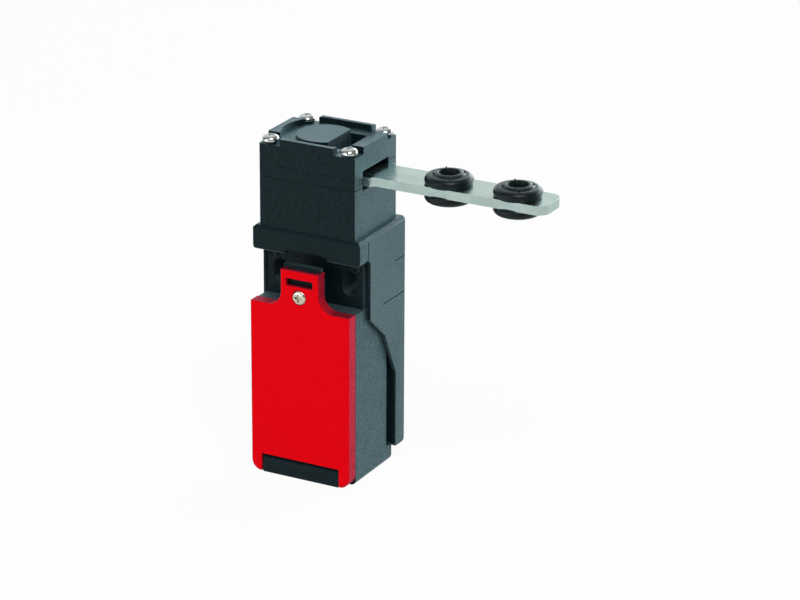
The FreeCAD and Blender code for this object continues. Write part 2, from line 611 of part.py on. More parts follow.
def terminal_cover():
    """Red cover: a shallow tray with a screw tab above and two hinge legs below."""
    body = new_body("terminal_cover")
    outline = [("-body_half", "cover_shoulder")]
    outline += [("-body_half", "leg_clearance + leg_round"),
                ("leg_round - body_half", "leg_clearance", "leg_round", 1),
                ("-leg_inner", "leg_clearance"), ("-leg_inner", "cover_rim"),
                ("leg_inner", "cover_rim"), ("leg_inner", "leg_clearance"),
                ("body_half - leg_round", "leg_clearance"),
                ("body_half", "leg_clearance + leg_round", "leg_round", 1),
                ("body_half", "cover_shoulder"),
                ("tab_half + tab_round", "cover_shoulder"),
                ("tab_half", "cover_shoulder + tab_round", "tab_round", -1),
                ("tab_half", "tab_top"), ("-tab_half", "tab_top"),
                ("-tab_half", "cover_shoulder + tab_round"),
                ("-tab_half - tab_round", "cover_shoulder", "tab_round", -1)]
    extrude(body, "tray", "XZ", "0", "cover_depth", [outline])
    front = [name for side in both_sides("body_half") for name in edges_near(body, x=side, y="0")]
    front += [name for side in both_sides("tab_half") for name in edges_near(body, x=side, y="0")]
    front += edges_near(body, y="0", z="tab_top") + edges_near(body, y="0", z="cover_shoulder")
    dress(body, "Fillet", "front_edges", front, "cover_round")
    inner = "(body_half - cover_wall)"
    tab_inner = "(tab_half - cover_wall)"
    ceiling = "(cover_shoulder - cover_wall)"
    hollow = [(f"-{inner}", "cover_rim + cover_wall"), (inner, "cover_rim + cover_wall"), (inner, ceiling),
              (f"{tab_inner} + tab_round", ceiling),
              (tab_inner, f"{ceiling} + tab_round", "tab_round", -1),
              (tab_inner, "tab_top + 1"), (f"-{tab_inner}", "tab_top + 1"),
              (f"-{tab_inner}", f"{ceiling} + tab_round"),
              (f"-{tab_inner} - tab_round", ceiling, "tab_round", -1), (f"-{inner}", ceiling)]
    extrude(body, "hollow", "XZ", "cover_panel", "cover_depth + 1", [hollow], cut=True)
    extrude(body, "window", "XZ", "-1", "cover_panel + 1",
            [rectangle(*both_sides("window_half"), "window_bottom", "window_bottom + window_height")],
            cut=True)
    extrude(body, "screw_recess", "XZ", "-1", "cover_panel / 2",
            [("0", "cover_screw_height", "cover_screw_head + running_gap")], cut=True)
    extrude(body, "screw_hole", "XZ", "-1", "cover_panel + 1",
            [("0", "cover_screw_height", "cover_screw_shank + seat_fit")], cut=True)
    heel = [("cover_depth + 1", "leg_clearance - 1"), ("cover_depth + 1", "leg_clearance + heel_round"),
            ("cover_depth", "leg_clearance + heel_round"),
            ("cover_depth - heel_round", "leg_clearance", "heel_round", -1),
            ("cover_depth - heel_round", "leg_clearance - 1")]
    extrude(body, "heel", "YZ", *both_sides("body_half + 1"), [heel], cut=True)
    toe = [("-1", "leg_clearance - 1"), ("toe_round", "leg_clearance - 1"), ("toe_round", "leg_clearance"),
           ("0", "leg_clearance + toe_round", "toe_round", -1), ("-1", "leg_clearance + toe_round")]
    extrude(body, "toe", "YZ", *both_sides("body_half + 1"), [toe], cut=True)
    nub = ("hinge_depth", "hinge_height", "nub_radius")
    extrude(body, "right_nub", "YZ", "leg_inner - nub_length", "leg_inner + 0.5", [nub])
    extrude(body, "left_nub", "YZ", "-leg_inner - 0.5", "nub_length - leg_inner", [nub])
    return body


def cover_gasket():
    """Flat seal glued inside the cover, round the mouth of the wiring space."""
    body = new_body("cover_gasket")
    outer = "(body_half - cover_wall - running_gap)"
    low, high = "(cover_rim + cover_wall + running_gap)", "(cover_shoulder - cover_wall - running_gap)"
    extrude(body, "ring", "XZ", "cover_panel", "body_front - gasket_gap",
            [rectangle(*both_sides(outer), low, high)])
    extrude(body, "opening", "XZ", "0", "cover_depth + 1",
            [rectangle(*both_sides(f"{outer} - gasket_width"),
                       f"{low} + gasket_width", f"{high} - gasket_width")], cut=True)
    return body


def cross_recess(body, plane, across, along, start, stop, radius):
    """Two crossing slots cut into a screw head."""
    width = f"({radius}) * cross_width_share"
    reach = f"({radius}) * cross_reach_share"
    for name, half_across, half_along in (("recess_across", reach, width), ("recess_along", width, reach)):
        outline = rectangle(f"{across} - {half_across}", f"{across} + {half_across}",
                            f"{along} - {half_along}", f"{along} + {half_along}")
        extrude(body, name, plane, start, stop, [outline], cut=True)


def cover_screw():
    """Captive screw of the cover: it stays in the tab when the cover opens."""
    body = new_body("cover_screw")
    seat = "(cover_panel / 2)"
    top = f"({seat} - cover_screw_head * head_height_share)"
    extrude(body, "head", "XZ", top, seat, [("0", "cover_screw_height", "cover_screw_head")])
    dress(body, "Fillet", "head_edge", circles_near(body, "y", top, "cover_screw_head"),
          "cover_screw_head / 3")
    extrude(body, "shank", "XZ", f"{seat} - 0.2", f"{seat} + cover_screw_length",
            [("0", "cover_screw_height", "cover_screw_shank")])
    cross_recess(body, "XZ", "0", "cover_screw_height", f"{top} - 1", f"{top} + cover_screw_head / 3",
                 "cover_screw_head")
    return body


def head_block(body, name, low, high):
    """A slab with the head's outline, its upright corners rounded."""
    block(body, name, both_sides("head_half"), ("head_front", "head_back"), (low, high))
    uprights = [edge for side in both_sides("head_half") for face in ("head_front", "head_back")
                for edge in edges_near(body, x=side, y=face)]
    dress(body, "Fillet", name + "_corners", uprights, "head_round")


def head_screw_holes(body, low, high, places):
    """Clear holes for the long head screws."""
    extrude(body, "screw_holes", "XY", low, high,
            [(across, along, "screw_shank + screw_clearance") for across, along in places], cut=True)


def gasket_rings(outer_inset, inner_inset):
    """The two outlines of the head's flat seal, each set in from the seal's groove."""
    return [rectangle(*both_sides(f"head_gasket_half - {inset}"),
                      *about_middle(f"head_gasket_depth_half - {inset}"))
            for inset in (outer_inset, inner_inset)]


def head_base():
    """Lower part of the head, with the chamber of the cam and the seats of its axle."""
    body = new_body("head_base")
    head_block(body, "block", "collar_top", "head_part")
    block(body, "chamber", both_sides("cavity_half"), about_middle("slot_half"),
          ("collar_top + cavity_floor", "head_part + 1"), cut=True)
    block(body, "tongue_slot", ("0", "head_half + 1"), about_middle("slot_half"),
          ("slot_bottom", "head_part + 1"), cut=True)
    axle = about_middle("slot_half + axle_reach")
    extrude(body, "axle_seats", "XZ", *axle, [("0", "cam_height", "axle_radius + seat_fit")], cut=True)
    block(body, "axle_ways", both_sides("axle_radius + seat_fit"), axle,
          ("cam_height", "head_part + 1"), cut=True)
    head_screw_holes(body, "collar_top - 1", "head_part + 1", head_screw_places())
    seal_top = "(collar_top + seal_thick + seat_fit)"
    extrude(body, "plunger_hole", "XY", "collar_top - 1", "collar_top + cavity_floor + 1",
            [("0", "head_middle", "plunger_radius + soft_gap")], cut=True)
    extrude(body, "seal_seat", "XY", "collar_top - 1", seal_top,
            [("0", "head_middle", "seal_radius + seat_fit")], cut=True)
    groove = gasket_rings("0", "head_gasket_width")
    extrude(body, "gasket_groove", "XY", "collar_top - 1", "collar_top + head_gasket_thick", groove,
            cut=True)
    return body


def tongue_guide():
    """Middle layer of the head. It guides the tongue and keeps the cam axle down."""
    body = new_body("tongue_guide")
    head_block(body, "plate", "head_part", "guide_top")
    block(body, "tongue_way", ("-guide_way", "head_half + 1"), about_middle("slot_half"),
          ("head_part - 1", "guide_top + 1"), cut=True)
    for name, left, right in (("left_post_gap", "-head_half - 1", "-post_start"),
                              ("right_post_gap", "post_start", "head_half + 1")):
        block(body, name, (left, right), ("head_front - 1", "head_middle - slot_half"),
              ("head_part - 1", "guide_top + 1"), cut=True)
    for name, near, far in (("front_keeper", "head_middle - slot_half - axle_reach + seat_fit",
                             "head_middle - slot_half"),
                            ("back_keeper", "head_middle + slot_half",
                             "head_middle + slot_half + axle_reach - seat_fit")):
        block(body, name, both_sides("axle_radius - seat_fit"), (near, far),
              ("cam_height + axle_radius + seat_fit", "head_part + 0.5"))
    back_holes = [(across, "head_middle + screw_depth_half_pitch")
                  for across in both_sides("screw_half_pitch")]
    head_screw_holes(body, "head_part - 1", "guide_top + 1", back_holes)
    return body


def head_cover():
    """Top of the head: corner posts in front, round recess, raised disc and the top slot."""
    body = new_body("head_cover")
    head_block(body, "block", "head_part", "head_top")
    block(body, "guide_room", ("-post_start", "post_start"), ("head_front - 1", "head_middle - slot_half"),
          ("head_part - 1", "guide_top"), cut=True)
    block(body, "guide_room_behind", both_sides("head_half + 1"),
          ("head_middle - slot_half", "head_back + 1"), ("head_part - 1", "guide_top"), cut=True)
    block(body, "tongue_slot", ("-guide_way", "head_half + 1"), about_middle("slot_half"),
          ("head_part - 1", "slot_top"), cut=True)
    flat = "(head_half_depth - recess_rim)"
    bay = f"sqrt(recess_radius ^ 2 - {flat} ^ 2)"
    recess = [(f"-{bay}", f"head_middle - {flat}", "recess_radius", 1), (bay, f"head_middle - {flat}"),
              (bay, f"head_middle + {flat}", "recess_radius", 1), (f"-{bay}", f"head_middle + {flat}")]
    extrude(body, "recess", "XY", "recess_floor", "head_top + 1", [recess], cut=True)
    extrude(body, "disc", "XY", "recess_floor - 0.5", "disc_top",
            [("-disc_offset", "head_middle", "disc_radius")])
    block(body, "top_slot", ("top_slot_start", "top_slot_start + top_slot_width"),
          about_middle("top_slot_half"), ("slot_top - 1", "head_top + 1"), cut=True)
    for across_name, left, right in (("left", "-head_half - 1", "-notch_start"),
                                     ("right", "notch_start", "head_half + 1")):
        for along_name, near, far in (("front", "head_front - 1", "head_front + notch_depth"),
                                      ("back", "head_back - notch_depth", "head_back + 1")):
            block(body, f"{across_name}_{along_name}_notch", (left, right), (near, far),
                  ("notch_floor", "head_top + 1"), cut=True)
    extrude(body, "screw_bosses", "XY", "notch_floor - 0.5", "screw_seat",
            [(across, along, "screw_boss_radius") for across, along in head_screw_places()])
    head_screw_holes(body, "head_part - 1", "head_top + 1", head_screw_places())
    return body


def head_screws():
    """Four long pan-head screws, each a solid of its own."""
    screws = []
    for number, (across, along) in enumerate(head_screw_places(), 1):
        screw = DOC.addObject("PartDesign::Body", f"head_screw_{number}")
        top = "(screw_seat + screw_head_height)"
        extrude(screw, "head", "XY", "screw_seat", top, [(across, along, "screw_head_radius")])
        dress(screw, "Fillet", "dome", circles_near(screw, "z", top, "screw_head_radius"),
              "screw_head_height * screw_dome_share")
        extrude(screw, "shank", "XY", "screw_bottom", "screw_seat + 0.2", [(across, along, "screw_shank")])
        cross_recess(screw, "XY", across, along, f"{top} - screw_head_height / 2", f"{top} + 1",
                     "screw_head_radius")
        screws.append(screw)
    return group("head_screws", screws)


def group(label, members):
    """Several separate solids under one name."""
    compound = DOC.addObject("Part::Compound", label)
    compound.Label = label
    compound.Links = members
    place(compound)
    return compound


def plain_shape(label, shape):
    """A piece whose shape comes from the sizes through Part's own functions."""
    piece = DOC.addObject("Part::Feature", label)
    piece.Label = label
    piece.Shape = shape
    place(piece)
    return piece


def cam_wheel():
    """Cam with a hub, one tooth for the tongue's tip and a spiral lobe over the plunger."""
    height, middle = size("cam_height"), size("head_middle")
    half, hub = size("cam_half"), size("cam_hub")
    bore = size("axle_radius + cam_bore_gap")
    hub_half = size("slot_half - cam_side_gap")
    tooth_half = size("cam_tooth_half")
    start, rise = size("cam_lobe_radius"), size("plunger_travel")
    turn = math.radians(size("cam_turn_angle"))
    dwell = math.radians(size("cam_lobe_dwell_angle"))
    along = FreeCAD.Vector(0, 1, 0)
    axis = FreeCAD.Vector(0, middle, height)

    def around(angle, radius, depth=middle - half):
        """A point at an angle from straight down, towards +X."""
        return FreeCAD.Vector(radius * math.sin(angle), depth, height - radius * math.cos(angle))

    steps = 8
    spiral = Part.BSplineCurve()
    spiral.interpolate([around(turn * step / steps, start + rise * step / steps)
                        for step in range(steps + 1)])
    top = start + rise
    crest = Part.Arc(around(turn, top), around(turn + dwell / 2, top), around(turn + dwell, top))
    foot = FreeCAD.Vector(0, middle - half, height)
    edges = [spiral.toShape(), crest.toShape(), Part.makeLine(around(turn + dwell, top), foot),
             Part.makeLine(foot, around(0, start))]
    lobe = Part.Face(Part.Wire(edges)).extrude(along * (2 * half))
    lean = size("cam_tooth_angle")
    tooth = Part.makeBox(2 * tooth_half, 2 * half, size("cam_tooth_radius"),
                         FreeCAD.Vector(-tooth_half, middle - half, height))
    tooth.rotate(axis, along, -lean)
    disc = Part.makeCylinder(hub, 2 * half, foot, along)
    bosses = Part.makeCylinder((hub + bore) / 2, 2 * hub_half, axis - along * hub_half, along)
    solid = disc.fuse([lobe, tooth, bosses]).removeSplitter()
    hole = Part.makeCylinder(bore, 2 * hub_half + 2, axis - along * (hub_half + 1), along)
    return plain_shape("cam_wheel", solid.cut(hole))


def cam_axle():
    """Pin the cam turns on, seated in both walls of the head's lower part."""
    body = new_body("cam_axle")
    extrude(body, "pin", "XZ", *about_middle("slot_half + axle_reach - seat_fit"),
            [("0", "cam_height", "axle_radius")])
    return body


def head_gasket():
    """Flat seal between head and collar."""
    body = new_body("head_gasket")
    extrude(body, "ring", "XY", "collar_top", "collar_top + head_gasket_thick - seat_fit",
            gasket_rings("seat_fit", "(head_gasket_width - seat_fit)"))
    return body


def plunger():
    """Round-ended plunger: it follows the cam and pushes the contact carrier."""
    body = new_body("plunger")
    extrude(body, "rod", "XY", "flange_top", "plunger_top", [("0", "head_middle", "plunger_radius")])
    dress(body, "Fillet", "dome", circles_near(body, "z", "plunger_top", "plunger_radius"), "plunger_dome")
    extrude(body, "flange", "XY", "flange_bottom", "flange_top", [("0", "head_middle", "plunger_flange")])
    extrude(body, "stem", "XY", "carrier_top", "flange_bottom", [("0", "head_middle", "stem_radius")])
    return body


def plunger_guide():
    """Bush pressed into the collar, in which the plunger slides."""
    body = new_body("plunger_guide")
    extrude(body, "bush", "XY", "guide_bottom", "collar_top", [("0", "head_middle", "guide_radius")])
    extrude(body, "bore", "XY", "guide_bottom - 1", "collar_top + 1",
            [("0", "head_middle", "plunger_radius + running_gap")], cut=True)
    return body


def plunger_seal():
    """Ring that keeps dirt in the head from the plunger's bush."""
    body = new_body("plunger_seal")
    extrude(body, "ring", "XY", "collar_top", "collar_top + seal_thick",
            [("0", "head_middle", "seal_radius")])
    extrude(body, "bore", "XY", "collar_top - 1", "collar_top + seal_thick + 1",
            [("0", "head_middle", "plunger_radius + soft_gap")], cut=True)
    return body


def coil(label, radius, wire, turns, low, high):
    """Round-wire compression spring about the head's axis, from low to high."""
    radius, wire, turns, low, high = (size(formula) for formula in (radius, wire, turns, low, high))
    height = high - low - 2 * wire
    foot = FreeCAD.Vector(0, size("head_middle"), low + wire)
    helix = Part.makeHelix(height / turns, height, radius)
    helix.translate(foot)
    section = Part.makeCircle(wire, foot + FreeCAD.Vector(radius, 0, 0), FreeCAD.Vector(0, 1, 0))
    return plain_shape(label, Part.Wire(helix).makePipeShell([Part.Wire(section)], True, True))


def return_spring():
    """Spring under the plunger's flange, which pushes it back up."""
    return coil("return_spring", "spring_radius", "spring_wire", "spring_turns",
                "spring_floor", "flange_bottom")


def contact_spring():
    """Spring that holds the two bridges apart in the carrier's window."""
    return coil("contact_spring", "contact_spring_radius", "contact_spring_wire", "contact_spring_turns",
                "lower_bridge_bottom + contact_thick", "upper_bridge_top - contact_thick")


# Each fixed contact pair: underside of its strip, and whether its terminals stand above or below it.
CONTACT_PAIRS = {"upper": ("upper_contact", 1), "lower": ("lower_contact", -1)}


def terminal_span(pair):
    """Low and high ends of the pair's upright terminal plates."""
    strip, way = CONTACT_PAIRS[pair]
    if way > 0:
        return strip, f"({strip} + terminal_reach)"
    return f"({strip} + contact_thick - terminal_reach)", f"({strip} + contact_thick)"


def terminal_height(pair):
    """Height of the pair's terminal screws."""
    strip, way = CONTACT_PAIRS[pair]
    return f"({strip} + contact_thick / 2 {'+' if way > 0 else '-'} terminal_screw_rise)"


def terminal_places():
    """The four terminal screw axes, as pairs of formulas."""
    return [(across, terminal_height(pair))
            for pair in CONTACT_PAIRS for across in both_sides("terminal_across")]


def contact_block():
    """Insulating housing of the contacts, screwed to the back of the wiring space."""
    body = new_body("contact_block")
    block(body, "block", both_sides("block_half"), ("block_front", "wiring_back"),
          ("block_bottom", "block_top"))
    block(body, "chamber", both_sides("block_cavity_half"), ("block_front - 1", "block_cavity_back"),
          ("block_bottom + block_wall", "block_top - block_wall"), cut=True)
    extrude(body, "stem_hole", "XY", "block_top - block_wall - 1", "block_top + 1",
            [("0", "head_middle", "stem_radius + free_gap")], cut=True)
    for pair, (strip, _) in CONTACT_PAIRS.items():
        block(body, pair + "_strip_ways", both_sides("contact_outer + seat_fit"),
              ("block_front - 1", "head_middle + contact_depth_half + seat_fit"),
              (f"{strip} - seat_fit", f"{strip} + contact_thick + seat_fit"), cut=True)
    screw_end = "block_front - contact_thick + terminal_screw_length"
    extrude(body, "terminal_holes", "XZ", "block_front - 1", screw_end,
            [(across, height, "terminal_screw_radius + seat_fit")
             for across, height in terminal_places()], cut=True)
    extrude(body, "screw_holes", "XZ", "block_front - 1", "wiring_back + 1",
            [(across, "block_screw_height", "block_screw_radius + seat_fit")
             for across in both_sides("block_screw_across")], cut=True)
    return body


def contact_block_cover():
    """Plate that closes the front of the contact chamber."""
    body = new_body("contact_block_cover")
    block(body, "plate", both_sides("block_cavity_half - seat_fit"),
          ("block_front", "block_front + block_cover_thick"),
          ("block_bottom + block_wall + seat_fit", "block_top - block_wall - seat_fit"))
    return body


def contact_carrier():
    """Moving frame that carries both bridges in one window."""
    body = new_body("contact_carrier")
    window_low = "(lower_bridge_bottom - seat_fit)"
    block(body, "frame", both_sides("carrier_half"), about_middle("carrier_depth_half"),
          (f"{window_low} - carrier_wall", "carrier_top"))
    block(body, "window", both_sides("carrier_half + 1"), about_middle("contact_depth_half + seat_fit"),
          (window_low, "upper_bridge_top + seat_fit"), cut=True)
    return body


def bridge(label, low):
    """Contact bridge that reaches from one fixed contact to the other."""
    body = new_body(label)
    block(body, "strip", both_sides("bridge_half"), about_middle("contact_depth_half"),
          (low, f"{low} + contact_thick"))
    return body


def fixed_contacts(pair):
    """Two fixed contacts: a strip from the chamber out to an upright terminal plate."""
    strip, _ = CONTACT_PAIRS[pair]
    low, high = terminal_span(pair)
    members = []
    for side, (inner, leg, outer) in (("left", ("-contact_inner", "-terminal_leg", "-contact_outer")),
                                      ("right", ("contact_inner", "terminal_leg", "contact_outer"))):
        body = DOC.addObject("PartDesign::Body", f"{pair}_{side}_contact")
        near, back = "(block_front - contact_thick)", "(head_middle + contact_depth_half)"
        outline = [(inner, back), (inner, "head_middle - contact_depth_half"),
                   (leg, "head_middle - contact_depth_half"), (leg, near), (outer, near), (outer, back)]
        extrude(body, "strip", "XY", strip, f"{strip} + contact_thick", [outline])
        extrude(body, "terminal", "XZ", near, "block_front", [rectangle(leg, outer, low, high)])
        across = ("-" if side == "left" else "") + "terminal_across"
        extrude(body, "screw_hole", "XZ", f"{near} - 1", "block_front + 0.5",
                [(across, terminal_height(pair), "terminal_screw_radius + running_gap")], cut=True)
        members.append(body)
    return group(f"{pair}_fixed_contacts", members)


def terminal_clamps():
    """Four square wire clamps under the terminal screws."""
    members = []
    back = "(block_front - contact_thick - clamp_gap)"
    for number, (across, height) in enumerate(terminal_places(), 1):
        body = DOC.addObject("PartDesign::Body", f"terminal_clamp_{number}")
        extrude(body, "plate", "XZ", f"{back} - clamp_thick", back,
                [rectangle(f"{across} - clamp_half", f"{across} + clamp_half",
                           f"{height} - clamp_half", f"{height} + clamp_half")])
        extrude(body, "hole", "XZ", f"{back} - clamp_thick - 1", f"{back} + 1",
                [(across, height, "terminal_screw_radius + running_gap")], cut=True)
        members.append(body)
    return group("terminal_clamps", members)


def pan_screw(label, across, height, seat, sizes):
    """A screw along Y, its head in front of seat. sizes: head radius and height, shank radius, length."""
    head, tall, shank, length = sizes
    body = DOC.addObject("PartDesign::Body", label)
    top = f"({seat} - {tall})"
    extrude(body, "head", "XZ", top, seat, [(across, height, head)])
    dress(body, "Fillet", "head_edge", circles_near(body, "y", top, head), f"{tall} * head_height_share")
    extrude(body, "shank", "XZ", f"{seat} - 0.2", f"{seat} + {length}", [(across, height, shank)])
    cross_recess(body, "XZ", across, height, f"{top} - 1", f"{top} + {tall} / 2", head)
    return body


def terminal_screws():
    """Four screws that clamp the wires."""
    seat = "(block_front - contact_thick - clamp_gap - clamp_thick)"
    sizes = ("terminal_head_radius", "terminal_head_height", "terminal_screw_radius",
             "terminal_screw_length")
    return group("terminal_screws", [pan_screw(f"terminal_screw_{number}", *place_of_screw, seat, sizes)
                                     for number, place_of_screw in enumerate(terminal_places(), 1)])


def block_screws():
    """Two screws that hold the contact block to the housing's back wall."""
    sizes = ("block_screw_head", "block_screw_head_height", "block_screw_radius",
             "(wiring_back - block_front + rear_wall / 2)")
    seat = ("block_screw_height", "block_front")
    return group("block_screws", [pan_screw(f"block_screw_{number}", across, *seat, sizes)
                                  for number, across in enumerate(both_sides("block_screw_across"), 1)])


def grommet_places():
    """Where along the tongue the two grommets sit."""
    return ["grommet_first", "(grommet_first + grommet_pitch)"]


def tongue():
    """Steel tongue: a T head with a window, and a strip with two grommet holes."""
    body = new_body("tongue")
    tip = "(-tongue_tip)"
    near, far = about_middle("tee_half")
    slim_near, slim_far = about_middle("tongue_half")
    neck = "(tee_end + tee_fillet)"
    outline = [
        (tip, f"{near} + tee_chamfer"), (f"{tip} + tee_chamfer", near), ("tee_end", near),
        (neck, slim_near, "tee_fillet", -1), ("tongue_end - tongue_end_round", slim_near),
        ("tongue_end", f"{slim_near} + tongue_end_round", "tongue_end_round", 1),
        ("tongue_end", f"{slim_far} - tongue_end_round"),
        ("tongue_end - tongue_end_round", slim_far, "tongue_end_round", 1), (neck, slim_far),
        ("tee_end", far, "tee_fillet", -1), (f"{tip} + tee_chamfer", far), (tip, f"{far} - tee_chamfer"),
    ]
    extrude(body, "strip", "XY", "tongue_bottom", "tongue_bottom + tongue_thick", [outline])
    window = f"({tip} + tee_window_start)"
    extrude(body, "window", "XY", "tongue_bottom - 1", "tongue_bottom + tongue_thick + 1",
            [rectangle(window, f"{window} + tee_window_length", *about_middle("tee_window_half"))], cut=True)
    extrude(body, "grommet_holes", "XY", "tongue_bottom - 1", "tongue_bottom + tongue_thick + 1",
            [(across, "head_middle", "grommet_waist + grommet_fit") for across in grommet_places()], cut=True)
    return body


def grommet(label, across):
    """Rubber grommet with a domed flange on each side of the tongue."""
    body = new_body(label)
    top = "(tongue_bottom + tongue_thick)"
    extrude(body, "waist", "XY", "tongue_bottom", top, [(across, "head_middle", "grommet_waist")])
    round_flange = [(across, "head_middle", "grommet_radius")]
    extrude(body, "upper_flange", "XY", top, f"{top} + grommet_flange", round_flange)
    extrude(body, "lower_flange", "XY", "tongue_bottom - grommet_flange", "tongue_bottom", round_flange)
    extrude(body, "bore", "XY", "tongue_bottom - grommet_flange - 1", f"{top} + grommet_flange + 1",
            [(across, "head_middle", "grommet_hole")], cut=True)
    ends = (f"{top} + grommet_flange", "tongue_bottom - grommet_flange")
    rims = [name for level in ends for name in circles_near(body, "z", level, "grommet_radius")]
    dress(body, "Fillet", "domes", rims, "grommet_round")
    return body


def build():
    """Every piece of the switch, in the order of its files."""
    return [
        outer_shell(), terminal_housing(), terminal_cover(), cover_gasket(), cover_screw(), head_base(),
        tongue_guide(), head_cover(), head_screws(), head_gasket(), cam_wheel(), cam_axle(), plunger(),
        plunger_guide(), plunger_seal(), return_spring(), contact_block(), contact_block_cover(),
        contact_carrier(), bridge("upper_bridge", "(upper_bridge_top - contact_thick)"),
        bridge("lower_bridge", "lower_bridge_bottom"), contact_spring(), fixed_contacts("upper"),
        fixed_contacts("lower"), terminal_clamps(), terminal_screws(), block_screws(), tongue(),
        grommet("inner_grommet", grommet_places()[0]), grommet("outer_grommet", grommet_places()[1]),
    ]


def check(pieces):
    """Stops if any object failed to compute or any piece is not sound."""
    for thing in DOC.Objects:
        if "Invalid" in thing.State or "Error" in thing.State:
            raise RuntimeError(f"{thing.Label} did not compute: {thing.State}")
    for piece in pieces:
        if piece.Shape.isNull() or not piece.Shape.isValid() or not piece.Shape.Solids:
            raise RuntimeError(f"{piece.Label} is not a sound solid")


PIECES = build()
DOC.recompute()
check(PIECES)
os.makedirs("parts", exist_ok=True)
for piece in PIECES:
    piece.Shape.exportStep(f"parts/{piece.Label}.step")
    print(f"{piece.Label:22s} solids {len(piece.Shape.Solids)}  volume {piece.Shape.Volume:9.1f}")
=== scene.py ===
"""Looks of the tongue interlock switch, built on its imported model.

Places are written in millimetres from the front of the red cover (y) and the underside (z), and at()
turns them into the model's metres. Lengths are millimetres times MM.
"""
import json
import math

import bpy
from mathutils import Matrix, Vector


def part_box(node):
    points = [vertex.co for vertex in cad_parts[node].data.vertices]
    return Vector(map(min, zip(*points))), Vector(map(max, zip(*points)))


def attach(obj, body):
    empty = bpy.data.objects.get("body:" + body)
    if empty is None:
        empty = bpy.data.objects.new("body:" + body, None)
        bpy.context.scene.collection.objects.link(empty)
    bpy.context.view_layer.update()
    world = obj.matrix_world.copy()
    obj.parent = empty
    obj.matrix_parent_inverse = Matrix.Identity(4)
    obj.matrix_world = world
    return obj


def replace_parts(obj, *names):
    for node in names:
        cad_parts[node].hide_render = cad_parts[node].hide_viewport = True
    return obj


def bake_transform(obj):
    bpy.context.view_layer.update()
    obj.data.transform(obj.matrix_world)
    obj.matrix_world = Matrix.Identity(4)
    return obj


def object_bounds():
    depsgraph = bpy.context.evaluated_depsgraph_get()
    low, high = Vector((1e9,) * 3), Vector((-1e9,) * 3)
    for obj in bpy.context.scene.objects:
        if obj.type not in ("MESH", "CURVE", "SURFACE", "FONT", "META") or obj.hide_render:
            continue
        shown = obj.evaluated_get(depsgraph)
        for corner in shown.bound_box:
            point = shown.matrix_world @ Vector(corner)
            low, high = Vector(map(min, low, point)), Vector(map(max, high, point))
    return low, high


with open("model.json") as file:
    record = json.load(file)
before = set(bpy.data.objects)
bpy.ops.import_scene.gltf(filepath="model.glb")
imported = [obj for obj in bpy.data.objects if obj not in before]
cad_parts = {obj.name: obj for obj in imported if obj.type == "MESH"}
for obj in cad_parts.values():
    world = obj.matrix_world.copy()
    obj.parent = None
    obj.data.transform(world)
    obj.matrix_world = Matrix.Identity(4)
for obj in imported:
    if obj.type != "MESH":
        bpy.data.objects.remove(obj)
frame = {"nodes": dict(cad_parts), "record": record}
cad_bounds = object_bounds()
nodes = frame["nodes"]
MM = 0.001
DEPTH, FIXING_HEIGHT = 29.3, 55.7
HEAD_AXIS_DEPTH = 16.0
HEAD_SCREW_SEAT = 93.1
HEAD_SCREW_PITCH, HEAD_SCREW_DEPTH_PITCH = 23.6, 19.5
TONGUE_MIDDLE_HEIGHT = 84.85
GROMMET_PLACE, GROMMET_PITCH = 36.1, 20.0
ENTRY_DEPTH, ENTRY_FLOOR = 13.6, 9.0
ENTRY_RADIUS, ENTRY_ROOT_RADIUS, ENTRY_PITCH = 9.2, 9.55, 1.5


def at(across, depth, height):
    """A place on the switch, in the model's metres."""
    return Vector((across, depth - DEPTH, height - FIXING_HEIGHT)) * MM


# ---------------------------------------------------------------- selecting and finishing

def deselect_all():
    """Leaves edit mode and selects nothing."""
    if bpy.context.mode != "OBJECT":
        bpy.ops.object.mode_set(mode="OBJECT")
    bpy.ops.object.select_all(action="DESELECT")


def make_active(piece):
    """Selects one piece alone."""
    deselect_all()
    piece.select_set(True)
    bpy.context.view_layer.objects.active = piece


def edit(piece):
    """Opens a piece in edit mode with nothing selected."""
    make_active(piece)
    bpy.ops.object.mode_set(mode="EDIT")
    bpy.ops.mesh.select_all(action="DESELECT")


def done_editing():
    """Goes back to object mode."""
    bpy.ops.object.mode_set(mode="OBJECT")


def modify(piece, kind, **settings):
    """Adds one modifier and applies it."""
    make_active(piece)
    modifier = piece.modifiers.new(kind.lower(), kind)
    for name, value in settings.items():
        setattr(modifier, name, value)
    bpy.ops.object.modifier_apply(modifier=modifier.name)


def settle(piece):
    """Puts the piece's place into its mesh, so that its object sits at the origin."""
    make_active(piece)
    bpy.ops.object.transform_apply(location=True, rotation=True, scale=True)


def smooth(piece, angle):
    """Shades smooth across edges flatter than the angle, in degrees."""
    make_active(piece)
    bpy.ops.object.shade_smooth_by_angle(angle=math.radians(angle))


def finish_piece(piece, body, material):
    """Rides the piece on its body and gives it its material and slot."""
    settle(piece)
    piece.data.materials.clear()
    piece.data.materials.append(material)
    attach(piece, body)
    return piece


def copy_of(node, name):
    """A merged copy of a solid's mesh, its flat faces joined up again."""
    merge_distance, flat_angle = 0.001 * MM, math.radians(0.5)
    make_active(nodes[node])
    bpy.ops.object.duplicate()
    piece = bpy.context.object
    piece.name = name
    piece.parent = None
    edit(piece)
    bpy.ops.mesh.select_all(action="SELECT")
    bpy.ops.mesh.remove_doubles(threshold=merge_distance)
    bpy.ops.mesh.dissolve_limited(angle_limit=flat_angle)
    done_editing()
    return piece


